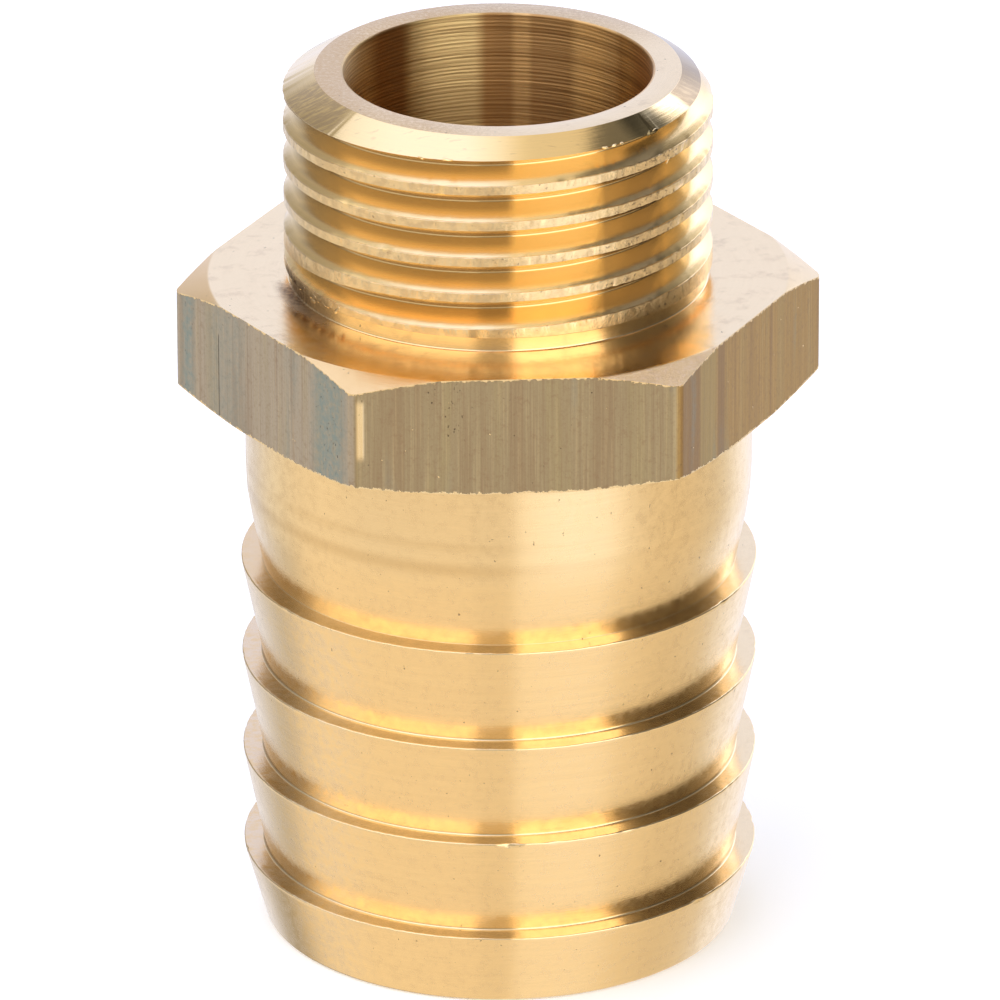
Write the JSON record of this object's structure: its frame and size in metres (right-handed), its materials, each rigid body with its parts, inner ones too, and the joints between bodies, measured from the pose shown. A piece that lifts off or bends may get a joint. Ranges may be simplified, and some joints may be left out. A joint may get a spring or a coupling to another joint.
{
  "type": "threaded hose nipple",
  "caption": "Brass hose nipple: a barbed hose tail, a hexagon for a spanner and a male pipe thread, with a bore right through.",
  "frame": {"origin": "centre of the flat face at the hose end, which the part stands on", "axes": "+Z along the axis from the hose end to the threaded end; -Y is the side that the picture shows"},
  "size_m": [0.031, 0.0278, 0.0438],
  "materials": {
    "brass": "turned satin on the thread, tail and faces; dull as drawn on the six flats"
  },
  "bodies": {
    "root": {"hose_nipple": "brass"}
  },
  "joints": []
}
